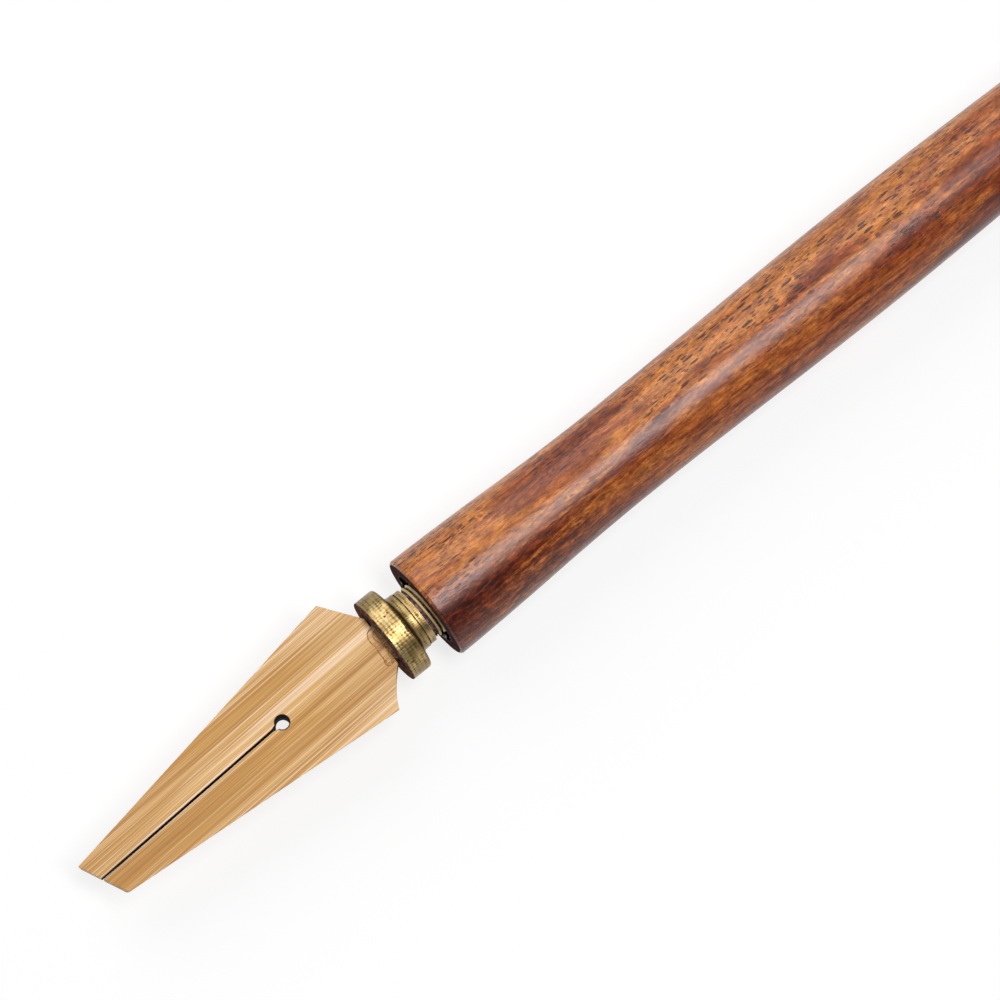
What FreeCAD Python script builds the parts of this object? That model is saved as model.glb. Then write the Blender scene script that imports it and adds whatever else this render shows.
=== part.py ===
import FreeCAD, Part
import math
import os

from FreeCAD import Vector

# A calligraphy pen: a turned rosewood handle, a threaded metal insert glued into its mouth,
# and a bamboo nib glued into a turned brass screw that screws into the insert.
# While a piece is being shaped, X runs along the pen from the handle's front face at 0
# towards the tail, Y runs across the nib, and Z points out of the nib's upper face.
# All sizes are in millimetres. A diameter ends in _d, a radius in _r, a place along X in _x.

# Handle: turned rosewood, flared at the mouth, with a waist for the fingers and a swell
handle_length = 150.0
handle_front_d = 11.4
handle_grip_d = 10.88
handle_grip_x = 10.0
handle_waist_d = 10.1
handle_waist_x = 22.0
handle_swell_d = 10.88
handle_swell_x = 57.0
handle_rise_share = 0.41
handle_rise_d = handle_waist_d + handle_rise_share * (handle_swell_d - handle_waist_d)
handle_rise_x = 38.0
handle_fall_share = 0.978
handle_fall_d = handle_fall_share * handle_swell_d
handle_fall_x = 67.0
handle_taper_d = 8.2
handle_taper_x = 110.0
handle_tail_d = 6.6
handle_mouth_round = 0.35
handle_tail_round = 3.0
drill_tip_angle = 118.0
drill_extra_depth = 1.0

# Screw thread of the brass screw and the insert: metric M6 x 0.5, right-handed
thread_d = 6.0
thread_pitch = 0.5
thread_flank_angle = 30.0
thread_crest_width = 0.0625
thread_depth = 0.3067
thread_end_gap = 0.1
thread_flank_gap = 0.06

# Threaded insert: a metal bush with a wide mouth and three grooves that key the glue
insert_d = 8.0
insert_mouth_d = 7.0
insert_mouth_depth = 1.0
insert_mouth_chamfer = 0.3
insert_thread_turns = 13
glue_groove_count = 3
glue_groove_width = 0.6
glue_groove_depth = 0.25
insert_glue_film = 0.1

# Brass screw: flange, two turned bands, an undercut, the thread and a short nose
flange_d = 9.4
flange_length = 2.3
flange_front_round = 0.12
flange_back_round = 0.3
neck_round = 0.7
neck_round_limit = 0.9
first_band_d = 6.3
first_band_length = 1.2
second_band_d = 6.16
second_band_length = 0.7
band_groove_width = 0.14
band_groove_depth = 0.12
undercut_length = 0.3
undercut_depth = 0.05
screw_thread_turns = 13
screw_nose_length = 0.4
screw_nose_chamfer = 0.2
exposed_length = 1.0
socket_d = 4.1
socket_depth = 6.0
socket_chamfer = 0.15

# Nib: a flat bamboo blade, whittled to a thinner, round-sided tang that is glued into the socket.
# Distances run along the blade from the flange, and its upper side is the one towards +Y.
nib_thickness = 2.6
nib_tip_thickness = 1.0
nib_bevel_length = 17.0
nib_side_undercut_angle = 14.0
nib_skew_angle = 2.4
nib_side_offset = 0.3
nib_long_side = 36.9
nib_short_side = 34.85
nib_tip_half_width = 2.6
nib_shoulder_half_width = 6.6
nib_upper_shoulder = 2.7
nib_lower_shoulder = 3.5
nib_lower_hollow = 0.3
nib_root_half_width = 2.75
nib_upper_root_gap = 0.15
nib_lower_root_gap = 0.4
tang_length = 5.0
tang_thickness = 2.4
tang_glue_film = 0.1
hole_d = 1.4
hole_from_flange = 12.8
slit_width = 0.2
slit_offset = 0.1
flare_length = 1.25
flare_width = 1.0

# Glue that shows on the blade at the socket's mouth, and the drop left at the socket's bottom
bead_length = 1.2
bead_height = 0.5
bead_half_width = 2.0
drop_clearance = 0.05

# Places along the pen, counted from the handle's front face
neck_length = first_band_length + second_band_length + exposed_length
flange_front_x = -neck_length - flange_length
first_band_x = flange_front_x + flange_length
second_band_x = first_band_x + first_band_length
undercut_x = second_band_x + second_band_length
screw_thread_x = undercut_x + undercut_length
screw_nose_x = screw_thread_x + screw_thread_turns * thread_pitch
screw_end_x = screw_nose_x + screw_nose_length
insert_length = insert_mouth_depth + insert_thread_turns * thread_pitch
tang_end_x = flange_front_x + tang_length
socket_end_x = flange_front_x + socket_depth

origin = Vector(0, 0, 0)
along = Vector(1, 0, 0)
upward = Vector(0, 0, 1)


def rounded_corner(before, corner, after, radius):
    """The arc that rounds a corner between two straight lines, as start, middle and end."""
    to_before = (before - corner).normalize()
    to_after = (after - corner).normalize()
    half_angle = to_before.getAngle(to_after) / 2
    reach = radius / math.tan(half_angle)
    inward = (to_before + to_after).normalize()
    middle = corner + inward * (radius / math.sin(half_angle) - radius)
    return corner + to_before * reach, middle, corner + to_after * reach


def turned(outline):
    """A solid turned about the pen's axis from (x, radius) or (x, radius, rounding) corners."""
    corners = [Vector(c[0], c[1], 0) for c in outline]
    edges = []
    last = corners[0]
    for number in range(1, len(outline)):
        corner = corners[number]
        following = corners[(number + 1) % len(corners)]
        if len(outline[number]) == 3:
            start, middle, end = rounded_corner(corners[number - 1], corner, following, outline[number][2])
            edges.append(Part.makeLine(last, start))
            edges.append(Part.Arc(start, middle, end).toShape())
            last = end
        else:
            edges.append(Part.makeLine(last, corner))
            last = corner
    edges.append(Part.makeLine(last, corners[0]))
    return Part.Face(Part.Wire(edges)).revolve(origin, along, 360)


def rod(radius, start_x, end_x):
    """A plain cylinder on the pen's axis."""
    return Part.makeCylinder(radius, end_x - start_x, Vector(start_x, 0, 0), along)


def thread_ridge_width(radius, gap):
    """The width of the screw's thread ridge at a radius, widened on each side by a gap."""
    flank_angle = math.radians(thread_flank_angle)
    spread = (thread_d / 2 - radius) * math.tan(flank_angle) + gap / math.cos(flank_angle)
    return thread_crest_width + 2 * spread


def thread_section(crest_r, root_r, gap):
    """A thread's cross section square to its axis: two arcs joined by two spirals."""
    crest_turn = math.pi * thread_ridge_width(crest_r, gap) / thread_pitch
    root_turn = math.pi * thread_ridge_width(root_r, gap) / thread_pitch

    def at(radius, angle):
        return Vector(radius * math.cos(angle), radius * math.sin(angle), 0)

    def arc(radius, first, last):
        return Part.Arc(at(radius, first), at(radius, (first + last) / 2), at(radius, last)).toShape()

    def flank(first_r, first, last_r, last):
        steps = 6
        points = [
            at(first_r + (last_r - first_r) * step / steps, first + (last - first) * step / steps)
            for step in range(steps + 1)
        ]
        curve = Part.BSplineCurve()
        curve.interpolate(points)
        return curve.toShape()

    return Part.Wire([
        arc(crest_r, -crest_turn, crest_turn),
        flank(crest_r, crest_turn, root_r, root_turn),
        arc(root_r, root_turn, 2 * math.pi - root_turn),
        flank(root_r, 2 * math.pi - root_turn, crest_r, 2 * math.pi - crest_turn),
    ])


def threaded_rod(start_x, turns, crest_r, root_r, gap=0.0):
    """A threaded rod: its cross section twisted along the axis, one pitch for each turn."""
    section = thread_section(crest_r, root_r, gap)
    sweep = Part.BRepOffsetAPI.MakePipeShell(Part.Wire(Part.makeLine(origin, upward * thread_pitch)))
    sweep.setAuxiliarySpine(Part.Wire(Part.makeHelix(thread_pitch, thread_pitch, crest_r).Edges), True, 0)
    sweep.add(section)
    sweep.build()
    faces = [Part.Face(section), Part.Face(section).translated(upward * (turns * thread_pitch))]
    for turn in range(turns):
        faces += [face.translated(upward * (turn * thread_pitch)) for face in sweep.shape().Faces]
    shell = Part.makeShell(faces)
    shell.sewShape()
    solid = Part.makeSolid(shell)
    if solid.Volume < 0:
        solid.reverse()
    # The ridge stands at the same angle at the same x on every rod, so screw and insert mesh
    solid.rotate(origin, upward, 360 * (start_x - screw_thread_x) / thread_pitch)
    solid.rotate(origin, Vector(0, 1, 0), 90)
    solid.translate(along * start_x)
    return solid


def make_handle():
    """The handle: a spline outline turned round, with a drilled bore for the insert."""
    tail_x = handle_length - handle_tail_round
    front_r = handle_front_d / 2
    tail_r = handle_tail_d / 2
    side = Part.BSplineCurve()
    side.interpolate([
        Vector(handle_mouth_round, front_r, 0),
        Vector(handle_grip_x, handle_grip_d / 2, 0),
        Vector(handle_waist_x, handle_waist_d / 2, 0),
        Vector(handle_rise_x, handle_rise_d / 2, 0),
        Vector(handle_swell_x, handle_swell_d / 2, 0),
        Vector(handle_fall_x, handle_fall_d / 2, 0),
        Vector(handle_taper_x, handle_taper_d / 2, 0),
        Vector(tail_x, tail_r, 0),
    ])
    mouth_step = handle_mouth_round * (1 - math.sqrt(0.5))
    mouth = Part.Arc(
        Vector(0, front_r - handle_mouth_round, 0),
        Vector(mouth_step, front_r - mouth_step, 0),
        Vector(handle_mouth_round, front_r, 0),
    )
    tail = Part.BezierCurve()
    tail.setPoles([
        Vector(tail_x, tail_r, 0),
        Vector(tail_x + handle_tail_round * 0.55, tail_r, 0),
        Vector(handle_length, tail_r * 0.55, 0),
        Vector(handle_length, 0, 0),
    ])
    outline = Part.Wire([
        Part.makeLine(origin, Vector(0, front_r - handle_mouth_round, 0)),
        mouth.toShape(),
        side.toShape(),
        tail.toShape(),
        Part.makeLine(Vector(handle_length, 0, 0), origin),
    ])
    body = Part.Face(outline).revolve(origin, along, 360)
    bore_r = insert_d / 2 + insert_glue_film
    bore_end = insert_length + drill_extra_depth
    tip_length = bore_r / math.tan(math.radians(drill_tip_angle / 2))
    bore = turned([(-1, 0), (-1, bore_r), (bore_end, bore_r), (bore_end + tip_length, 0)])
    return body.cut(bore)


def insert_blank():
    """The insert before it is bored: a cylinder with evenly spaced glue grooves."""
    blank_r = insert_d / 2
    land = (insert_length - glue_groove_count * glue_groove_width) / (glue_groove_count + 1)
    outline = [(0, 0), (0, blank_r)]
    for number in range(glue_groove_count):
        start_x = land + number * (land + glue_groove_width)
        end_x = start_x + glue_groove_width
        floor_r = blank_r - glue_groove_depth
        outline += [(start_x, blank_r), (start_x, floor_r), (end_x, floor_r), (end_x, blank_r)]
    return turned(outline + [(insert_length, blank_r), (insert_length, 0)])


def make_insert():
    """The insert: bored wide at its mouth, and cut with the inner thread behind that."""
    mouth_r = insert_mouth_d / 2
    mouth = turned([
        (-1, 0), (-1, mouth_r + insert_mouth_chamfer + 1), (insert_mouth_chamfer, mouth_r),
        (insert_mouth_depth, mouth_r), (insert_mouth_depth, 0),
    ])
    thread = threaded_rod(
        insert_mouth_depth - thread_pitch,
        insert_thread_turns + 2,
        thread_d / 2 + thread_end_gap,
        thread_d / 2 - thread_depth + thread_end_gap,
        thread_flank_gap,
    )
    return insert_blank().cut(mouth).cut(thread)


def make_insert_glue():
    """The adhesive between the insert and the handle's bore, which also fills the grooves."""
    return rod(insert_d / 2 + insert_glue_film, 0, insert_length).cut(insert_blank())


def make_nib_holder():
    """The brass screw: a turned blank with a thread, bored from the front for the tang."""
    flange_r = flange_d / 2
    first_r = first_band_d / 2
    second_r = second_band_d / 2
    root_r = thread_d / 2 - thread_depth
    neck_r = root_r - undercut_depth
    groove_half = band_groove_width / 2
    # The round where the flange meets the neck fits beside the round on the flange's back edge
    corner_round = min(neck_round, neck_round_limit * (flange_r - first_r - flange_back_round))
    neck = turned([
        (flange_front_x, 0),
        (flange_front_x, flange_r, flange_front_round),
        (first_band_x, flange_r, flange_back_round),
        (first_band_x, first_r, corner_round),
        (second_band_x - groove_half, first_r),
        (second_band_x, second_r - band_groove_depth),
        (second_band_x + groove_half, second_r),
        (undercut_x, second_r),
        (undercut_x, neck_r),
        (screw_thread_x, neck_r),
        (screw_thread_x, 0),
    ])
    thread = threaded_rod(screw_thread_x, screw_thread_turns, thread_d / 2, root_r)
    nose = turned([
        (screw_nose_x, 0),
        (screw_nose_x, neck_r),
        (screw_end_x - screw_nose_chamfer, neck_r),
        (screw_end_x, neck_r - screw_nose_chamfer),
        (screw_end_x, 0),
    ])
    socket_r = socket_d / 2
    socket = turned([
        (flange_front_x - 1, 0),
        (flange_front_x - 1, socket_r + socket_chamfer + 1),
        (flange_front_x + socket_chamfer, socket_r),
        (socket_end_x, socket_r),
        (socket_end_x, 0),
    ])
    return neck.fuse(thread).fuse(nose).cut(socket)


def nib_point(from_flange, aside, z):
    """A point of the blade, which leaves the flange askew and a little off the centre."""
    skew = math.radians(nib_skew_angle)
    return Vector(
        flange_front_x - from_flange * math.cos(skew) - aside * math.sin(skew),
        nib_side_offset - from_flange * math.sin(skew) + aside * math.cos(skew),
        z,
    )


def nib_corners(z):
    """The blade's corners: long tip, upper shoulder, two root corners, lower shoulder, short tip."""
    return [
        nib_point(nib_long_side, nib_tip_half_width, z),
        nib_point(nib_upper_shoulder, nib_shoulder_half_width, z),
        Vector(flange_front_x - nib_upper_root_gap, nib_root_half_width, z),
        Vector(flange_front_x - nib_lower_root_gap, -nib_root_half_width, z),
        nib_point(nib_lower_shoulder, -nib_shoulder_half_width, z),
        nib_point(nib_short_side, -nib_tip_half_width, z),
    ]


def prism(points, direction):
    """A polygon drawn out along a direction."""
    return Part.Face(Part.makePolygon(points + points[:1])).extrude(direction)


def side_cut(first, second):
    """What a knife takes off under a long edge, leaning in below the line from first to second."""
    overrun = 3.0
    run = (second - first).normalize()
    outward = run.cross(upward)
    depth = nib_thickness + overrun
    inward = depth * math.tan(math.radians(nib_side_undercut_angle))
    corner = first - run * overrun
    return prism(
        [
            corner,
            corner - outward * inward - upward * depth,
            corner + outward * overrun - upward * depth,
            corner + outward * overrun,
        ],
        second - first + run * (2 * overrun),
    )


def make_blade():
    """The blade: flat on top, undercut along its sides and bevelled under the tip."""
    bottom = -nib_thickness / 2
    long_tip, upper, upper_root, lower_root, lower, short_tip = nib_corners(bottom)
    hollow_middle = (lower_root + lower) / 2 - along * nib_lower_hollow
    outline = Part.Wire([
        Part.makeLine(long_tip, upper),
        Part.makeLine(upper, upper_root),
        Part.makeLine(upper_root, lower_root),
        Part.Arc(lower_root, hollow_middle, lower).toShape(),
        Part.makeLine(lower, short_tip),
        Part.makeLine(short_tip, long_tip),
    ])
    blade = Part.Face(outline).extrude(upward * nib_thickness)
    overrun = 2.0
    side = nib_shoulder_half_width + overrun
    bevel_start = nib_long_side - nib_bevel_length
    bevel_end = nib_long_side + overrun
    bevel_rise = (nib_thickness - nib_tip_thickness) * (bevel_end - bevel_start) / nib_bevel_length
    bevel = prism(
        [
            nib_point(bevel_start, -side, bottom),
            nib_point(bevel_end, -side, bottom),
            nib_point(bevel_end, -side, bottom + bevel_rise),
        ],
        nib_point(0, side, 0) - nib_point(0, -side, 0),
    )
    top = nib_corners(nib_thickness / 2)
    return blade.cut(bevel).cut(side_cut(top[1], top[0])).cut(side_cut(top[5], top[4]))


def make_slit():
    """What is cut through the blade: the hole, the flare that leaves it and the slit."""
    overrun = 1.0
    low = -nib_thickness / 2 - overrun
    height = nib_thickness + 2 * overrun
    flare_end = hole_from_flange + flare_length
    slit_end = nib_long_side + overrun
    half_slit = slit_width / 2
    half_flare = flare_width / 2
    slit = prism(
        [
            nib_point(hole_from_flange, slit_offset + half_flare, low),
            nib_point(flare_end, slit_offset + half_slit, low),
            nib_point(slit_end, slit_offset + half_slit, low),
            nib_point(slit_end, slit_offset - half_slit, low),
            nib_point(flare_end, slit_offset - half_slit, low),
            nib_point(hole_from_flange, slit_offset - half_flare, low),
        ],
        upward * height,
    )
    hole = Part.makeCylinder(hole_d / 2, height, nib_point(hole_from_flange, slit_offset, low), upward)
    return slit.fuse(hole)


def make_tang():
    """The tang: round at its sides to fill the socket, flat on top and below like the blade."""
    tang_r = socket_d / 2 - tang_glue_film
    start_x = flange_front_x - nib_lower_root_gap - tang_r
    slab_corner = Vector(start_x, -socket_d, -tang_thickness / 2)
    slab = Part.makeBox(tang_end_x - start_x, 2 * socket_d, tang_thickness, slab_corner)
    return rod(tang_r, start_x, tang_end_x).common(slab)


def make_nib():
    """The nib: one piece of bamboo."""
    return make_blade().cut(make_slit()).fuse(make_tang()).removeSplitter()


def make_nib_glue(nib):
    """The adhesive around the tang, with a bead that runs onto the blade's upper face."""
    blade_top = nib_thickness / 2
    tang_top = tang_thickness / 2
    bead = prism(
        [
            Vector(flange_front_x, -bead_half_width, tang_top),
            Vector(flange_front_x - bead_length, -bead_half_width, tang_top),
            Vector(flange_front_x - bead_length, -bead_half_width, blade_top),
            Vector(flange_front_x, -bead_half_width, blade_top + bead_height),
        ],
        Vector(0, 2 * bead_half_width, 0),
    )
    return rod(socket_d / 2, flange_front_x, tang_end_x).fuse(bead).cut(nib)


def make_socket_glue():
    """The drop of adhesive left between the tang's end and the bottom of the socket."""
    drop_r = socket_d / 2 - drop_clearance
    return rod(drop_r, tang_end_x + drop_clearance, socket_end_x - drop_clearance)


def standing_place():
    """The move that puts the bottom centre of the whole pen's box at the origin."""
    corners = nib_corners(0)
    widest_r = max(handle_front_d, handle_swell_d, flange_d) / 2
    low_x = min(corner.x for corner in corners)
    low_y = min([corner.y for corner in corners] + [-widest_r])
    high_y = max([corner.y for corner in corners] + [widest_r])
    return Vector(-(low_x + handle_length) / 2, -(low_y + high_y) / 2, widest_r)


def make_pieces():
    """Every piece of the pen by name, still in the shaping frame."""
    nib = make_nib()
    return {
        "handle": make_handle(),
        "threaded_insert": make_insert(),
        "insert_glue": make_insert_glue(),
        "nib_holder": make_nib_holder(),
        "nib": nib,
        "nib_glue": make_nib_glue(nib),
        "socket_glue": make_socket_glue(),
    }


def write_pieces():
    """Each piece as one solid in a STEP file of its own, in the pen's final frame."""
    os.makedirs("parts", exist_ok=True)
    place = standing_place()
    for name, shape in make_pieces().items():
        if len(shape.Solids) != 1:
            raise ValueError("%s has %d solids in place of one" % (name, len(shape.Solids)))
        solid = shape.Solids[0].translated(place)
        solid.exportStep("parts/%s.step" % name)
        print("%-16s volume %9.3f mm3, valid %s" % (name, solid.Volume, solid.isValid()))
    print("the shaping frame's origin lies at %.4f, %.4f, %.4f" % tuple(place))


write_pieces()
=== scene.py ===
import math

import bmesh
import bpy
from mathutils import Matrix, Vector


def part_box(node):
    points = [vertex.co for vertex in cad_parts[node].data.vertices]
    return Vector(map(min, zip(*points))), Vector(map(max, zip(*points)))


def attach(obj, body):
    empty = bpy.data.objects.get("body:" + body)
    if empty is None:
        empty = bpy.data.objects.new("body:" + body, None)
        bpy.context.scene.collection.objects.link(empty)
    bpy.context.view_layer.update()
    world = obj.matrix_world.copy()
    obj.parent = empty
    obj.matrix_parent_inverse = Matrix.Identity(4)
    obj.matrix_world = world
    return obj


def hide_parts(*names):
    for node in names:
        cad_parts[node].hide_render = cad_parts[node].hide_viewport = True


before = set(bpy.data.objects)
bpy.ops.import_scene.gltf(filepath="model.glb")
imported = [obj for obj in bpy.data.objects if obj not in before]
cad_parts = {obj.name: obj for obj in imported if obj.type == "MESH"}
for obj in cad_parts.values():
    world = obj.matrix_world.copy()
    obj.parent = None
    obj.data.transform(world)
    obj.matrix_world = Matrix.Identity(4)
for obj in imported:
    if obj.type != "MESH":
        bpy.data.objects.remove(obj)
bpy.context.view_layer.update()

# The camera looks down on the pen from a little towards the nib's end, through a long lens.
# The pen's tail leaves the picture at the upper right, as it does in the photograph.
scene = bpy.context.scene
mm = 0.001
camera_aim = Vector((-41.3, 3.6, 5.7)) * mm
camera_side = Vector((-0.140, -0.174))
camera_distance = 600 * mm
picture_width = 98.2 * mm
pen_angle = math.radians(38.7)
sensor_width = 36.0
nearest_seen = 0.01
farthest_seen = 20.0


def facing(place, right, up, back):
    """The placement of a camera or lamp that looks away from back, with its own right and up."""
    return Matrix.Translation(place) @ Matrix((right, up, back)).transposed().to_4x4()


towards_camera = Vector((camera_side.x, camera_side.y, math.sqrt(1 - camera_side.length_squared)))
pen_line = Vector((1, 0, 0))
pen_line = (pen_line - towards_camera * pen_line.dot(towards_camera)).normalized()
turned_line = towards_camera.cross(pen_line)
picture_right = pen_line * math.cos(pen_angle) - turned_line * math.sin(pen_angle)
picture_up = pen_line * math.sin(pen_angle) + turned_line * math.cos(pen_angle)
lens = bpy.data.cameras.new("camera")
lens.sensor_width = sensor_width
lens.lens = sensor_width * camera_distance / picture_width
lens.clip_start = nearest_seen
lens.clip_end = farthest_seen
camera = bpy.data.objects.new("camera", lens)
scene.collection.objects.link(camera)
camera_place = camera_aim + towards_camera * camera_distance
camera.matrix_world = facing(camera_place, picture_right, picture_up, towards_camera)
scene.camera = camera

# The handle is a length of rosewood, turned on a lathe and rubbed with oil.
# It flares at the mouth, thins to a waist for the fingers, swells and tapers to a round tail.
# Its mouth is drilled for the threaded insert, and its front edge is eased.
handle_low, handle_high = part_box("handle")
axis_y = (handle_low.y + handle_high.y) / 2
axis_z = (handle_low.z + handle_high.z) / 2
mouth_x = handle_low.x
handle_end_x = handle_high.x

# Each station is a distance from the mouth and the diameter there, both in millimetres.
handle_stations = [
    (0.0, 11.40), (2.0, 11.36), (5.0, 11.22), (10.0, 10.88), (15.0, 10.46),
    (20.0, 10.17), (25.0, 10.07), (30.0, 10.14), (38.0, 10.42), (46.0, 10.72),
    (52.0, 10.86), (57.0, 10.88), (62.0, 10.79), (67.0, 10.64), (80.0, 9.98),
    (95.0, 9.10), (110.0, 8.20), (125.0, 7.40), (137.0, 6.90), (147.0, 6.60),
]
outline_resolution = 8
turning_steps = 128
bore_radius = 4.1 * mm
bore_depth = 8.5 * mm
drill_half_angle = math.radians(59)
tail_steps = 8
mouth_round = 0.35 * mm
mouth_round_segments = 5
mouth_edge_from = 5.5 * mm
bore_reach = 1.05
front_reach = 1.0 * mm
front_slope = -0.9
handle_sharp_angle = math.radians(40)
touching = 0.002 * mm
same_place = 0.001 * mm


def smooth_line(name, points, resolution, radius=0.0):
    """A mesh of a line that passes smoothly through points, round where it is given a radius."""
    curve = bpy.data.curves.new(name, "CURVE")
    curve.dimensions = "3D"
    curve.resolution_u = resolution
    curve.bevel_depth = radius
    curve.bevel_resolution = 2
    curve.use_fill_caps = radius > 0
    spline = curve.splines.new("BEZIER")
    spline.bezier_points.add(len(points) - 1)
    for point, place in zip(spline.bezier_points, points):
        point.co = place
        point.handle_left_type = "AUTO"
        point.handle_right_type = "AUTO"
    holder = bpy.data.objects.new(name, curve)
    scene.collection.objects.link(holder)
    mesh = bpy.data.meshes.new_from_object(holder)
    bpy.data.objects.remove(holder)
    return mesh


def add_piece(name, body, bm, material):
    """Makes an object from a bmesh, gives it its finish and lets it ride on its body."""
    mesh = bpy.data.meshes.new(name)
    bm.to_mesh(mesh)
    bm.free()
    mesh.materials.append(material)
    piece = bpy.data.objects.new(name, mesh)
    scene.collection.objects.link(piece)
    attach(piece, body)
    return piece


def new_material(name, roughness, specular, metallic=0.0):
    """A material with its node tree, its shader and the pen's own coordinates in millimetres."""
    material = bpy.data.materials.new(name)
    material.use_nodes = True
    tree = material.node_tree
    shader = tree.nodes["Principled BSDF"]
    shader.inputs["Roughness"].default_value = roughness
    shader.inputs["Specular IOR Level"].default_value = specular
    shader.inputs["Metallic"].default_value = metallic
    place = tree.nodes.new("ShaderNodeTexCoord")
    measure = tree.nodes.new("ShaderNodeMapping")
    measure.vector_type = "TEXTURE"
    measure.inputs["Location"].default_value = (mouth_x, axis_y, axis_z)
    measure.inputs["Scale"].default_value = (mm, mm, mm)
    tree.links.new(place.outputs["Object"], measure.inputs["Vector"])
    return material, tree, shader, measure.outputs["Vector"]


def stretched(tree, coordinates, scale, turn=(0.0, 0.0, 0.0)):
    """The coordinates turned and scaled along each axis."""
    node = tree.nodes.new("ShaderNodeMapping")
    node.inputs["Rotation"].default_value = turn
    node.inputs["Scale"].default_value = scale
    tree.links.new(coordinates, node.inputs["Vector"])
    return node.outputs["Vector"]


def axes(tree, coordinates):
    """The outputs X, Y and Z of the coordinates."""
    node = tree.nodes.new("ShaderNodeSeparateXYZ")
    tree.links.new(coordinates, node.inputs["Vector"])
    return node.outputs


def noise(tree, coordinates, scale, turn=(0.0, 0.0, 0.0), detail=3.0, roughness=0.5, distortion=0.0):
    """Cloudy noise between 0 and 1, with its clouds per millimetre along each axis in scale."""
    node = tree.nodes.new("ShaderNodeTexNoise")
    node.inputs["Scale"].default_value = 1.0
    node.inputs["Detail"].default_value = detail
    node.inputs["Roughness"].default_value = roughness
    node.inputs["Distortion"].default_value = distortion
    tree.links.new(stretched(tree, coordinates, scale, turn), node.inputs["Vector"])
    return node.outputs["Fac"]


def ramp(tree, factor, stops):
    """Colours or greys along a factor, as (position, (red, green, blue)) stops."""
    node = tree.nodes.new("ShaderNodeValToRGB")
    elements = node.color_ramp.elements
    while len(elements) < len(stops):
        elements.new(0.5)
    for element, (position, colour) in zip(elements, stops):
        element.position = position
        element.color = (*colour, 1.0)
    tree.links.new(factor, node.inputs["Fac"])
    return node.outputs["Color"]


def step(tree, factor, none, full):
    """A factor brought smoothly to 0 at the value none and to 1 at the value full."""
    node = tree.nodes.new("ShaderNodeMapRange")
    node.interpolation_type = "SMOOTHSTEP"
    node.inputs["From Min"].default_value = none
    node.inputs["From Max"].default_value = full
    tree.links.new(factor, node.inputs["Value"])
    return node.outputs["Result"]


def calculate(tree, operation, first, second=0.0, third=0.0):
    """One sum on factors or numbers."""
    node = tree.nodes.new("ShaderNodeMath")
    node.operation = operation
    for socket, value in zip(node.inputs, (first, second, third)):
        if isinstance(value, (int, float)):
            socket.default_value = value
        else:
            tree.links.new(value, socket)
    return node.outputs["Value"]


def times(tree, first, second):
    """The product of two factors."""
    return calculate(tree, "MULTIPLY", first, second)


def greater(tree, first, second):
    """The greater of two factors."""
    return calculate(tree, "MAXIMUM", first, second)


def line(tree, factor, gain, start):
    """A factor times gain, added to start."""
    return calculate(tree, "MULTIPLY_ADD", factor, gain, start)


def blended(tree, factor, under, over, mode="MIX"):
    """Two colours mixed by a factor, each of them a socket or a fixed colour."""
    node = tree.nodes.new("ShaderNodeMix")
    node.data_type = "RGBA"
    node.blend_type = mode
    for name, value in (("Factor_Float", factor), ("A_Color", under), ("B_Color", over)):
        socket = next(s for s in node.inputs if s.identifier == name)
        if isinstance(value, (int, float)):
            socket.default_value = value
        elif isinstance(value, tuple):
            socket.default_value = (*value, 1.0)
        else:
            tree.links.new(value, socket)
    return next(s for s in node.outputs if s.identifier == "Result_Color")


def raised(tree, shader, height, strength, distance):
    """Turns a height factor into relief on the shader."""
    node = tree.nodes.new("ShaderNodeBump")
    node.inputs["Strength"].default_value = strength
    node.inputs["Distance"].default_value = distance
    tree.links.new(height, node.inputs["Height"])
    tree.links.new(node.outputs["Normal"], shader.inputs["Normal"])


def flecks(tree, coordinates, scale, size, kept, turn=(0.0, 0.0, 0.0)):
    """Short separate marks: 1 on a mark and 0 off it, with only a share of the cells kept."""
    cells = tree.nodes.new("ShaderNodeTexVoronoi")
    cells.inputs["Scale"].default_value = 1.0
    cells.inputs["Randomness"].default_value = 1.0
    tree.links.new(stretched(tree, coordinates, scale, turn), cells.inputs["Vector"])
    chance = tree.nodes.new("ShaderNodeSeparateColor")
    tree.links.new(cells.outputs["Color"], chance.inputs["Color"])
    chosen = calculate(tree, "LESS_THAN", chance.outputs["Red"], kept)
    reach = line(tree, chance.outputs["Green"], gain=size * 0.6, start=size * 0.5)
    inside = calculate(tree, "SUBTRACT", reach, cells.outputs["Distance"])
    return times(tree, step(tree, inside, none=-0.04, full=0.06), chosen)


# Scales are marks per millimetre along the pen, across it and upwards.
grain_turn = (0.0, math.radians(1.5), math.radians(-6.0))
wander_scale = (0.050, 0.18, 0.18)
growth_scale = (0.075, 0.60, 0.60)
growth_share = 0.62
wander_share = 0.38
drift_across = 0.008
band_colours = [
    (0.38, (0.140, 0.024, 0.009)),
    (0.45, (0.265, 0.058, 0.016)),
    (0.50, (0.405, 0.115, 0.028)),
    (0.56, (0.575, 0.212, 0.050)),
    (0.65, (0.465, 0.142, 0.034)),
]
fibre_scale = (0.95, 2.8, 2.8)
fibre_shades = [
    (0.34, (0.44, 0.34, 0.30)),
    (0.46, (0.88, 0.84, 0.80)),
    (0.54, (1.10, 1.10, 1.08)),
    (0.66, (1.55, 1.58, 1.48)),
]
mottle_scale = (0.55, 0.90, 0.90)
mottle_shades = [
    (0.36, (0.74, 0.70, 0.68)),
    (0.50, (1.0, 1.0, 1.0)),
    (0.64, (1.20, 1.20, 1.18)),
]
shading = 0.9
streak_scale = (0.16, 1.5, 1.5)
streak_colour = (0.090, 0.018, 0.011)
streak_cover = 0.62
crowding_scale = (0.10, 0.30, 0.30)
long_pore_scale = (0.66, 3.2, 3.2)
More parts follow.
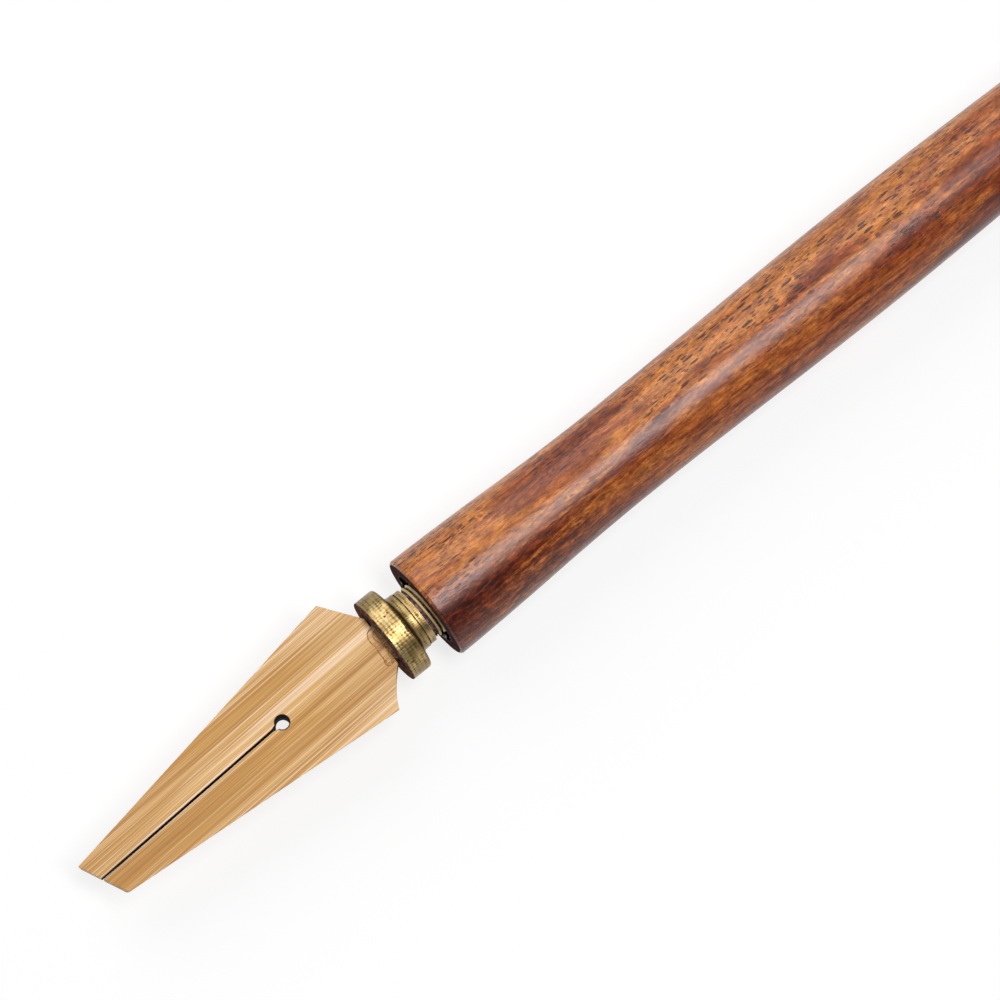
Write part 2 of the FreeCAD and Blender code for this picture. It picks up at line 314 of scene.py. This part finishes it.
short_pore_scale = (1.50, 4.6, 4.6)
pore_size = 0.48
short_pore_depth = 0.85
pore_colour = (0.060, 0.010, 0.007)
pore_cover = 0.92
# Tints for the painted shade on the handle's -Y side and near its mouth.
side_shade_tint = (0.90, 0.70, 0.62)
side_shade_cover = 0.60
mouth_shade_tint = (0.40, 0.27, 0.25)
fibre_height = 0.70
pore_depth = 0.60
wood_relief = 0.06 * mm

rosewood, tree, shader, pen_mm = new_material("rosewood", roughness=0.27, specular=0.33)
pen_axes = axes(tree, pen_mm)
wander = noise(tree, pen_mm, wander_scale, grain_turn, detail=2.0)
growth = noise(tree, pen_mm, growth_scale, grain_turn, detail=7.0, roughness=0.70, distortion=0.9)
band = calculate(tree, "ADD", times(tree, growth, growth_share), times(tree, wander, wander_share))
band = line(tree, pen_axes["Y"], gain=drift_across, start=band)
colour = ramp(tree, band, band_colours)
fibre = noise(tree, pen_mm, fibre_scale, grain_turn, detail=5.0, roughness=0.74)
colour = blended(tree, shading, colour, ramp(tree, fibre, fibre_shades), "MULTIPLY")
mottle = noise(tree, pen_mm, mottle_scale, grain_turn, detail=3.0, roughness=0.6)
colour = blended(tree, shading, colour, ramp(tree, mottle, mottle_shades), "MULTIPLY")
streak = noise(tree, pen_mm, streak_scale, grain_turn, detail=6.0, roughness=0.70, distortion=0.9)
streak = step(tree, streak, none=0.54, full=0.66)
colour = blended(tree, times(tree, streak, streak_cover), colour, streak_colour)

# The pores crowd in patches, and are fainter on the side where shade is painted.
crowding = noise(tree, pen_mm, crowding_scale, grain_turn, detail=2.0)
long_pores = flecks(tree, pen_mm, long_pore_scale, pore_size, kept=0.34, turn=grain_turn)
short_pores = flecks(tree, pen_mm, short_pore_scale, pore_size, kept=0.32, turn=grain_turn)
pores = greater(tree, long_pores, times(tree, short_pores, short_pore_depth))
pores = times(tree, pores, step(tree, crowding, none=0.33, full=0.50))
shaded_side = step(tree, pen_axes["Y"], none=0.4, full=-3.4)
pores = times(tree, pores, line(tree, shaded_side, gain=-0.45, start=1.0))
colour = blended(tree, times(tree, pores, pore_cover), colour, pore_colour)

# Painted shade darkens the handle's -Y side, away from the window panel, most of all near the mouth, broken
# up by the dark fibres.
colour = blended(tree, times(tree, shaded_side, side_shade_cover), colour, side_shade_tint, "MULTIPLY")
mouth_shade = times(tree, step(tree, pen_axes["X"], none=34.0, full=4.0), shaded_side)
dark_fibre = step(tree, fibre, none=0.60, full=0.46)
mouth_shade = times(tree, mouth_shade, line(tree, dark_fibre, gain=0.62, start=0.30))
colour = blended(tree, mouth_shade, colour, mouth_shade_tint, "MULTIPLY")
tree.links.new(colour, shader.inputs["Base Color"])
relief = calculate(tree, "SUBTRACT", times(tree, fibre, fibre_height), times(tree, pores, pore_depth))
raised(tree, shader, relief, strength=0.55, distance=wood_relief)

# The end grain round the mouth is left matt, and dust has settled in it.
dust_scale = (1.6, 1.6, 1.6)
dust_colours = [(0.36, (0.070, 0.032, 0.036)), (0.64, (0.200, 0.110, 0.120))]
end_wood, tree, shader, pen_mm = new_material("rosewood_end", roughness=0.80, specular=0.0)
dust = noise(tree, pen_mm, dust_scale, detail=4.0, roughness=0.7)
tree.links.new(ramp(tree, dust, dust_colours), shader.inputs["Base Color"])

outline_points = [(mouth_x + x * mm, axis_y, axis_z + d / 2 * mm) for x, d in handle_stations]
bm = bmesh.new()
bm.from_mesh(smooth_line("handle_outline", outline_points, outline_resolution))
bm.verts.ensure_lookup_table()
front_end = min(bm.verts, key=lambda v: v.co.x)
tail_end = max(bm.verts, key=lambda v: v.co.x)
tail_radius = tail_end.co.z - axis_z
tail_start = tail_end.co.x
bore_end_x = mouth_x + bore_depth
drill_tip_x = bore_end_x + bore_radius / math.tan(drill_half_angle)
for x, radius in ((mouth_x, bore_radius), (bore_end_x, bore_radius), (drill_tip_x, 0)):
    vert = bm.verts.new((x, axis_y, axis_z + radius))
    bm.edges.new((front_end, vert))
    front_end = vert
for count in range(1, tail_steps + 1):
    angle = math.pi / 2 * count / tail_steps
    x = tail_start + (handle_end_x - tail_start) * math.sin(angle)
    vert = bm.verts.new((x, axis_y, axis_z + tail_radius * math.cos(angle)))
    bm.edges.new((tail_end, vert))
    tail_end = vert
bmesh.ops.spin(
    bm, geom=bm.verts[:] + bm.edges[:], cent=(0, axis_y, axis_z), axis=(1, 0, 0),
    angle=2 * math.pi, steps=turning_steps, use_merge=True,
)
bmesh.ops.remove_doubles(bm, verts=bm.verts, dist=touching)
bmesh.ops.recalc_face_normals(bm, faces=bm.faces)


def off_axis(place):
    """How far a place lies from the pen's axis."""
    return math.hypot(place.y - axis_y, place.z - axis_z)


mouth_ring = [
    e for e in bm.edges
    if all(abs(v.co.x - mouth_x) < same_place and off_axis(v.co) > mouth_edge_from for v in e.verts)
]
bmesh.ops.bevel(
    bm, geom=mouth_ring, offset=mouth_round, segments=mouth_round_segments, profile=0.5,
    affect="EDGES", material=-1,
)
for face in bm.faces:
    face.smooth = True
    middle = face.calc_center_median()
    in_bore = off_axis(middle) < bore_radius * bore_reach and middle.x < drill_tip_x
    on_front = face.normal.x < front_slope and middle.x < mouth_x + front_reach
    if in_bore or on_front:
        face.material_index = 1
handle = add_piece("turned_handle", "grip", bm, rosewood)
handle.data.materials.append(end_wood)
handle.data.set_sharp_from_angle(angle=handle_sharp_angle)
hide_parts("handle")

# The threaded insert is a steel bush, bored and threaded, and glued into the mouth.
# Only its rim and the wall of its wide mouth can be seen; they are painted near-black as shade in the mouth,
# with bare steel in random patches.
# The glue fills the grooves round it, and is painted near-black as the shade in the gap.
painted_mouth_shade = (0.012, 0.009, 0.009)
bare_steel = (0.40, 0.36, 0.33)
steel_share = 0.8
insert_metal, tree, shader, pen_mm = new_material("insert_metal", roughness=0.30, specular=0.0, metallic=1.0)
# Painted shade: the insert is near-black for the shadowed mouth, except in random bare patches.
turning = noise(tree, pen_mm, scale=(2.0, 0.6, 0.6))
bare_patches = step(tree, turning, none=0.54, full=0.62)
tree.links.new(blended(tree, bare_patches, painted_mouth_shade, bare_steel), shader.inputs["Base Color"])
tree.links.new(times(tree, bare_patches, steel_share), shader.inputs["Metallic"])
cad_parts["threaded_insert"].data.materials[0] = insert_metal

# Painted shade: the glue ring is near-black to stand for the dark gap round the insert.
resin_shade_colours = [(0.3, (0.030, 0.016, 0.014)), (0.7, (0.09, 0.05, 0.04))]
resin, tree, shader, pen_mm = new_material("clear_resin", roughness=0.6, specular=0.05)
cloud = noise(tree, pen_mm, scale=(1.5, 1.5, 1.5))
tree.links.new(ramp(tree, cloud, resin_shade_colours), shader.inputs["Base Color"])
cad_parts["insert_glue"].data.materials[0] = resin

# The nib holder is a brass screw, turned from a bar and left as it came off the lathe.
# Fine tool marks cross its bands, it has aged to a dull yellow, and glue and painted shade darken its front.
patina_colours = [
    (0.34, (0.230, 0.150, 0.055)),
    (0.50, (0.345, 0.240, 0.096)),
    (0.66, (0.520, 0.385, 0.175)),
]
ring_spacing = 0.43
lines_around = 80.0
mark_sway = 5.0
ring_mark_depth = 0.55
long_mark_depth = 0.50
worn_shades = [(0.38, (0.25, 0.25, 0.25)), (0.60, (1.0, 1.0, 1.0))]
mark_colour = (0.045, 0.024, 0.010)
mark_cover = 0.90
pit_scale = (2.2, 2.2, 2.2)
pit_colour = (0.040, 0.022, 0.012)
pit_cover = 0.9
crest_highlight_colour = (0.95, 0.76, 0.40)
crust_and_shade_colours = [
    (0.36, (0.040, 0.018, 0.022)),
    (0.50, (0.150, 0.080, 0.086)),
    (0.62, (0.38, 0.250, 0.170)),
]
brass_relief = 0.04 * mm

brass, tree, shader, pen_mm = new_material("aged_brass", roughness=0.45, specular=0.0, metallic=1.0)
pen_axes = axes(tree, pen_mm)
patina = noise(tree, pen_mm, scale=(0.9, 0.6, 0.6), detail=4.0, roughness=0.6)
colour = ramp(tree, patina, patina_colours)
around = calculate(tree, "ARCTAN2", pen_axes["Z"], pen_axes["Y"])
sway = times(tree, noise(tree, pen_mm, scale=(1.3, 1.3, 1.3), detail=2.0), mark_sway)
ring_phase = line(tree, pen_axes["X"], gain=2 * math.pi / ring_spacing, start=sway)
long_phase = line(tree, around, gain=lines_around, start=sway)
ring_marks = step(tree, calculate(tree, "SINE", ring_phase), none=-0.10, full=0.95)
long_marks = step(tree, calculate(tree, "SINE", long_phase), none=-0.10, full=0.95)
marks = line(tree, ring_marks, gain=ring_mark_depth, start=times(tree, long_marks, long_mark_depth))
worn = noise(tree, pen_mm, scale=(1.5, 1.0, 1.0))
marks = times(tree, marks, ramp(tree, worn, worn_shades))
colour = blended(tree, times(tree, marks, mark_cover), colour, mark_colour)
pits = flecks(tree, pen_mm, pit_scale, size=0.34, kept=0.14)
colour = blended(tree, times(tree, pits, pit_cover), colour, pit_colour)

# The thread's roots and the groove between the bands are painted dark as shade, and glue and painted shade
# darken the front face.
from_axis = tree.nodes.new("ShaderNodeVectorMath")
from_axis.operation = "LENGTH"
tree.links.new(stretched(tree, pen_mm, (0.0, 1.0, 1.0)), from_axis.inputs[0])
radius = from_axis.outputs["Value"]
bare_thread = step(tree, pen_axes["X"], none=-1.05, full=-1.0)
thread_root_shade = times(tree, bare_thread, step(tree, radius, none=2.84, full=2.76))
crest_highlight = times(tree, bare_thread, step(tree, radius, none=2.80, full=2.88))
groove_onwards = step(tree, pen_axes["X"], none=-1.9, full=-1.8)
band_groove_shade = times(tree, groove_onwards, step(tree, radius, none=3.07, full=3.03))
band_groove_shade = times(tree, band_groove_shade, calculate(tree, "SUBTRACT", 1.0, bare_thread))
front_face = step(tree, pen_axes["X"], none=-5.07, full=-5.15)
glue_and_painted_shade = greater(tree, greater(tree, thread_root_shade, band_groove_shade), front_face)
# Painted highlight: the thread's crests are coloured bright yellow and made mostly non-metallic, standing
# for glints along the ridges.
colour = blended(tree, crest_highlight, colour, crest_highlight_colour)
crust_and_shade = noise(tree, pen_mm, scale=(2.6, 2.6, 2.6), detail=4.0, roughness=0.7)
colour = blended(tree, glue_and_painted_shade, colour, ramp(tree, crust_and_shade, crust_and_shade_colours))
tree.links.new(colour, shader.inputs["Base Color"])
unshaded_metal = calculate(tree, "SUBTRACT", 1.0, glue_and_painted_shade)
metal_share = times(tree, unshaded_metal, line(tree, crest_highlight, gain=-0.75, start=1.0))
tree.links.new(metal_share, shader.inputs["Metallic"])
tree.links.new(line(tree, glue_and_painted_shade, gain=0.45, start=0.37), shader.inputs["Roughness"])
sunk = times(tree, greater(tree, marks, pits), -1.0)
raised(tree, shader, sunk, strength=0.45, distance=brass_relief)
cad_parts["nib_holder"].data.materials[0] = brass

# The nib is a slip of bamboo, planed flat, whittled at its sides and cut to a slant at its tip.
# Its fibres run along the blade, and the slit and the breather hole are burnt black.
nib_skew = math.radians(2.4)
flange_front = -5.2
blade_offset = 0.3
hole_from_flange = 12.8
slit_offset = 0.1
slit_half_width = 0.1
flare_half_width = 0.5
flare_length = 1.25
cane_colours = [
    (0.36, (0.60, 0.315, 0.082)),
    (0.50, (0.65, 0.360, 0.108)),
    (0.64, (0.70, 0.405, 0.138)),
]
root_colour = (0.86, 0.60, 0.33)
root_cover = 0.35
tip_shade = (0.88, 0.84, 0.80)
broad_scale = (0.010, 0.60, 0.5)
stripe_scale = (0.010, 2.1, 1.0)
fine_scale = (0.014, 4.6, 2.0)
fine_turn = (0.0, 0.0, 0.004)
bleached_scale = (0.016, 3.6, 2.0)
thread_scale = (0.045, 6.5, 4.0)
light_stripe_colour = (0.84, 0.56, 0.27)
dark_stripe_colour = (0.47, 0.215, 0.050)
fine_dark_colour = (0.43, 0.195, 0.060)
fine_pale_colour = (0.93, 0.68, 0.46)
bleached_colour = (0.96, 0.73, 0.56)
thread_shades = [
    (0.34, (0.76, 0.70, 0.62)),
    (0.50, (1.0, 1.0, 1.0)),
    (0.66, (1.18, 1.20, 1.24)),
]
thread_cover = 0.85
burnt_colour = (0.012, 0.005, 0.004)
bamboo_relief = 0.03 * mm

bamboo, tree, shader, pen_mm = new_material("bamboo", roughness=0.40, specular=0.25)
blade = stretched(tree, pen_mm, (1.0, 1.0, 1.0), (0.0, 0.0, -nib_skew))
blade_axes = axes(tree, blade)
along = blade_axes["X"]
broad = noise(tree, blade, broad_scale, detail=2.0)
stripes = noise(tree, blade, stripe_scale, detail=4.0, roughness=0.78)
threads = noise(tree, blade, thread_scale, detail=3.0, roughness=0.7)
bleached = noise(tree, blade, bleached_scale, detail=3.0, roughness=0.75)
fine = noise(tree, blade, fine_scale, fine_turn, detail=2.0, roughness=0.7)
colour = ramp(tree, broad, cane_colours)
near_root = step(tree, along, none=-16.0, full=-6.0)
colour = blended(tree, times(tree, near_root, root_cover), colour, root_colour)
near_tip = step(tree, along, none=-22.0, full=-42.0)
colour = blended(tree, near_tip, colour, tip_shade, "MULTIPLY")
for source, none, full, share, stripe_colour in (
    (stripes, 0.545, 0.59, 0.50, light_stripe_colour),
    (stripes, 0.465, 0.42, 0.50, dark_stripe_colour),
    (fine, 0.44, 0.40, 0.50, fine_dark_colour),
    (fine, 0.56, 0.60, 0.55, fine_pale_colour),
    (bleached, 0.58, 0.615, 0.75, bleached_colour),
):
    stripe = times(tree, step(tree, source, none, full), share)
    colour = blended(tree, stripe, colour, stripe_colour)
colour = blended(tree, thread_cover, colour, ramp(tree, threads, thread_shades), "MULTIPLY")

# The burnt edge follows the slit, its flare and the round of the hole.
hole_x = flange_front * math.cos(nib_skew) + blade_offset * math.sin(nib_skew) - hole_from_flange
slit_y = -flange_front * math.sin(nib_skew) + blade_offset * math.cos(nib_skew) + slit_offset
aside = calculate(tree, "ABSOLUTE", calculate(tree, "SUBTRACT", blade_axes["Y"], slit_y))
forward = calculate(tree, "SUBTRACT", hole_x, along)
flare_slope = (slit_half_width - flare_half_width) / flare_length
flare = line(tree, forward, gain=flare_slope, start=flare_half_width)
half_width = greater(tree, flare, slit_half_width)
burnt_slit = step(tree, calculate(tree, "SUBTRACT", aside, half_width), none=0.06, full=0.01)
burnt_slit = times(tree, burnt_slit, step(tree, forward, none=-0.05, full=0.05))
squares = line(tree, forward, gain=forward, start=times(tree, aside, aside))
from_hole = calculate(tree, "SQRT", squares)
burnt = greater(tree, burnt_slit, step(tree, from_hole, none=0.86, full=0.76))
colour = blended(tree, burnt, colour, burnt_colour)
tree.links.new(colour, shader.inputs["Base Color"])
tree.links.new(line(tree, burnt, gain=0.50, start=0.40), shader.inputs["Roughness"])
fibres_high = calculate(tree, "ADD", stripes, threads)
raised(tree, shader, fibres_high, strength=0.25, distance=bamboo_relief)

flat_enough = math.radians(1)
sharp_from = math.radians(35)
edge_round = 0.05 * mm
bm = bmesh.new()
bm.from_mesh(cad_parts["nib"].data)
bmesh.ops.remove_doubles(bm, verts=bm.verts, dist=same_place)
bmesh.ops.dissolve_limit(bm, angle_limit=flat_enough, verts=bm.verts, edges=bm.edges)
sharp = [e for e in bm.edges if len(e.link_faces) == 2 and e.calc_face_angle() > sharp_from]
bmesh.ops.bevel(
    bm, geom=sharp, offset=edge_round, segments=2, profile=0.5, affect="EDGES", material=-1,
    clamp_overlap=True,
)
nib = add_piece("bamboo_nib", "nib_unit", bm, bamboo)
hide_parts("nib")

# Brown glue holds the nib's tang in the brass, and a little of it has crept out on the blade.
# It dried as a thin clear skin with a brown rim, and a few loose fibres are caught in it.
glue_colours = [(0.38, (0.30, 0.125, 0.028)), (0.62, (0.62, 0.33, 0.100))]
skin_colour = (0.56, 0.30, 0.11)
skin_cover = [(0.42, (0.02, 0.02, 0.02)), (0.66, (0.30, 0.30, 0.30))]
blade_top = 1.3
skin_thickness = 0.03
climb_height = 0.12
climb_length = 0.7
skin_under_rim = 0.008
skin_steps = 8
strand_resolution = 6
rim_radius = 0.055
fibre_radius = 0.036
skin_edge = [
    (-5.45, 1.60), (-5.95, 1.48), (-6.28, 1.10), (-6.36, 0.50), (-6.28, -0.15),
    (-6.38, -0.90), (-6.42, -1.60), (-6.56, -2.16), (-6.30, -2.40), (-5.80, -2.30),
]
fibres = [
    [(-6.52, -2.02), (-6.15, -1.72), (-5.85, -1.95), (-6.02, -2.24), (-6.38, -2.10)],
    [(-5.25, -0.95), (-5.62, -1.25), (-5.80, -1.75), (-5.55, -2.12), (-5.22, -1.90)],
    [(-5.22, 1.25), (-5.62, 1.12), (-5.86, 0.62), (-5.72, 0.02), (-5.60, -0.55), (-5.24, -0.80)],
]

glue, tree, shader, pen_mm = new_material("brown_glue", roughness=0.40, specular=0.25)
cloud = noise(tree, pen_mm, scale=(3.0, 3.0, 3.0))
tree.links.new(ramp(tree, cloud, glue_colours), shader.inputs["Base Color"])
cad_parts["socket_glue"].data.materials[0] = glue

skin, tree, shader, pen_mm = new_material("glue_skin", roughness=0.30, specular=0.5)
shader.inputs["Base Color"].default_value = (*skin_colour, 1.0)
blotches = noise(tree, pen_mm, scale=(1.8, 1.8, 1.8))
tree.links.new(ramp(tree, blotches, skin_cover), shader.inputs["Alpha"])


def on_blade(x, y, sunk=0.0):
    """A place on the glue from millimetres: it climbs the brass at the blade's root."""
    near = max(0.0, 1 - (flange_front - x) / climb_length)
    height = blade_top + skin_thickness + climb_height * near * near - sunk
    return (mouth_x + x * mm, axis_y + y * mm, axis_z + height * mm)


strands = [(skin_edge, rim_radius)] + [(points, fibre_radius) for points in fibres]
bm = bmesh.new()
for points, radius in strands:
    places = [on_blade(x, y) for x, y in points]
    bm.from_mesh(smooth_line("strand", places, strand_resolution, radius * mm))
for face in bm.faces:
    face.smooth = True
rim = add_piece("glue_rim", "nib_unit", bm, glue)
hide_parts("nib_glue")

# The skin starts under the rim, short of its last point, and is drawn back to the flange.
bm = bmesh.new()
row = [bm.verts.new(on_blade(x, y, skin_under_rim)) for x, y in skin_edge[:-1]]
edges = [bm.edges.new(pair) for pair in zip(row, row[1:])]
for steps_left in range(skin_steps, 0, -1):
    grown = bmesh.ops.extrude_edge_only(bm, edges=edges)["geom"]
    row = [part for part in grown if isinstance(part, bmesh.types.BMVert)]
    grown_edges = [part for part in grown if isinstance(part, bmesh.types.BMEdge)]
    edges = [edge for edge in grown_edges if set(edge.verts) <= set(row)]
    for vert in row:
        x = (vert.co.x - mouth_x) / mm
        y = (vert.co.y - axis_y) / mm
        vert.co = on_blade(x + (flange_front - x) / steps_left, y, skin_under_rim)
bmesh.ops.recalc_face_normals(bm, faces=bm.faces)
for face in bm.faces:
    face.smooth = True
add_piece("glue_skin", "nib_unit", bm, skin)

# The floor is a plain pale table under the pen, in a pale room with two soft panels of light.
# It is matt, keeps the pen's shadow, and looks white to the camera and in the brass.
floor_half_width = 6.0
floor_grey = 0.62
floor_glow = 1.25
glow_share = 0.62
room_light = 0.16
room_seen = 0.84
dark_side_at = (0.0, -0.866, 0.5)
scene.view_settings.view_transform = "Standard"


def in_view(tree, rays):
    """1 for what is seen straight, in metal or through glass, and 0 for light on the pen."""
    seen = greater(tree, rays["Is Camera Ray"], rays["Is Glossy Ray"])
    return greater(tree, seen, rays["Is Transmission Ray"])


floor_bm = bmesh.new()
bmesh.ops.create_grid(floor_bm, x_segments=1, y_segments=1, size=floor_half_width)
floor_mesh = bpy.data.meshes.new("floor")
floor_bm.to_mesh(floor_mesh)
floor_bm.free()
floor = bpy.data.objects.new("floor", floor_mesh)
scene.collection.objects.link(floor)
floor_paint = bpy.data.materials.new("pale_floor")
floor_paint.use_nodes = True
tree = floor_paint.node_tree
tree.nodes.clear()
surface = tree.nodes.new("ShaderNodeOutputMaterial")
matt = tree.nodes.new("ShaderNodeBsdfDiffuse")
matt.inputs["Color"].default_value = (floor_grey, floor_grey, floor_grey, 1.0)
glow = tree.nodes.new("ShaderNodeEmission")
glow.inputs["Strength"].default_value = floor_glow
rays = tree.nodes.new("ShaderNodeLightPath").outputs
mix = tree.nodes.new("ShaderNodeMixShader")
tree.links.new(times(tree, in_view(tree, rays), glow_share), mix.inputs["Fac"])
tree.links.new(matt.outputs["BSDF"], mix.inputs[1])
tree.links.new(glow.outputs["Emission"], mix.inputs[2])
tree.links.new(mix.outputs["Shader"], surface.inputs["Surface"])
floor.data.materials.append(floor_paint)

room = bpy.data.worlds.new("pale_room")
scene.world = room
room.use_nodes = True
tree = room.node_tree
tree.nodes.clear()
surface = tree.nodes.new("ShaderNodeOutputWorld")
sky = tree.nodes.new("ShaderNodeBackground")
rays = tree.nodes.new("ShaderNodeLightPath").outputs
strength = line(tree, in_view(tree, rays), gain=room_seen, start=room_light)
directions = tree.nodes.new("ShaderNodeTexCoord")
towards_dark = tree.nodes.new("ShaderNodeVectorMath")
towards_dark.operation = "DOT_PRODUCT"
towards_dark.inputs[1].default_value = dark_side_at
tree.links.new(directions.outputs["Generated"], towards_dark.inputs[0])
dark_side = step(tree, towards_dark.outputs["Value"], none=0.88, full=0.96)
dark_side = times(tree, dark_side, rays["Is Glossy Ray"])
strength = times(tree, strength, line(tree, dark_side, gain=-0.80, start=1.0))
tree.links.new(strength, sky.inputs["Strength"])
tree.links.new(sky.outputs["Background"], surface.inputs["Surface"])


def soft_panel(name, direction, distance, length, width, radiance):
    """A light panel that faces the pen, with its length along the pen and its width across it."""
    panel = bpy.data.lights.new(name, "AREA")
    panel.shape = "RECTANGLE"
    panel.size = length
    panel.size_y = width
    panel.energy = radiance * math.pi * length * width
    holder = bpy.data.objects.new(name, panel)
    scene.collection.objects.link(holder)
    back = Vector(direction).normalized()
    across = (Vector((0, 1, 0)) - back * back.y).normalized()
    holder.matrix_world = facing(camera_aim + back * distance, across.cross(back), across, back)


soft_panel(
    "overhead_panel", direction=(0.14, -0.22, 0.96), distance=0.9, length=0.17, width=0.44, radiance=21.0,
)
soft_panel(
    "window_panel", direction=(0.05, 0.80, 0.75), distance=1.1, length=0.90, width=0.90, radiance=2.3,
)
